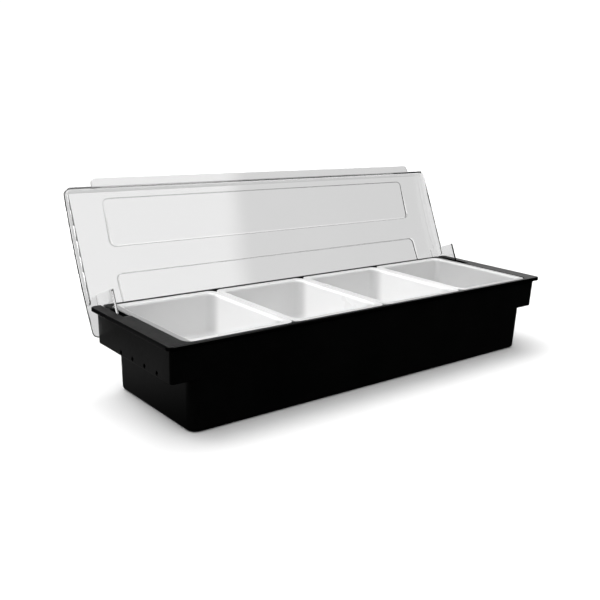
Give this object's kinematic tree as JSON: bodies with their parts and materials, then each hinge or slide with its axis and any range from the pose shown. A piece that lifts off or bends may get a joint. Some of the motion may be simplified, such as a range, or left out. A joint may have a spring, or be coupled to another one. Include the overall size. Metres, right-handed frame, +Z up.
{
  "type": "condiment caddy",
  "caption": "Long black ice-well tray with drop-in white food inserts side by side under one clear arched flip lid hinged along the back.",
  "frame": {"origin": "middle of the tray's flat bottom face", "axes": "+Z up; X along the tray's length; the lid is hinged along the +Y side, so -Y is the front"},
  "size_m": [0.5024, 0.2059, 0.1988],
  "materials": {
    "tray_black": "fine moulded texture, satin",
    "insert_white": "smooth semi-gloss",
    "lid_clear": "clear moulded plastic, polished, see-through"
  },
  "bodies": {
    "tray": {"tray": "tray_black"},
    "insert_1": {"insert_1": "insert_white"},
    "insert_2": {"insert_2": "insert_white"},
    "insert_3": {"insert_3": "insert_white"},
    "insert_4": {"insert_4": "insert_white"},
    "lid": {"lid": "lid_clear"}
  },
  "joints": [
    {"name": "lid_hinge", "type": "hinge", "parent": "tray", "child": "lid", "pos_m": [0, 0.0606, 0.0749], "axis": [1, 0, 0], "range_deg": [0, 114]},
    {"name": "insert_1_lift", "type": "slide", "parent": "tray", "child": "insert_1", "axis": [0, 0, -1], "range_m": [-0.06, 0]},
    {"name": "insert_2_lift", "type": "slide", "parent": "tray", "child": "insert_2", "axis": [0, 0, -1], "range_m": [-0.06, 0]},
    {"name": "insert_3_lift", "type": "slide", "parent": "tray", "child": "insert_3", "axis": [0, 0, -1], "range_m": [-0.06, 0]},
    {"name": "insert_4_lift", "type": "slide", "parent": "tray", "child": "insert_4", "axis": [0, 0, -1], "range_m": [-0.06, 0]}
  ]
}
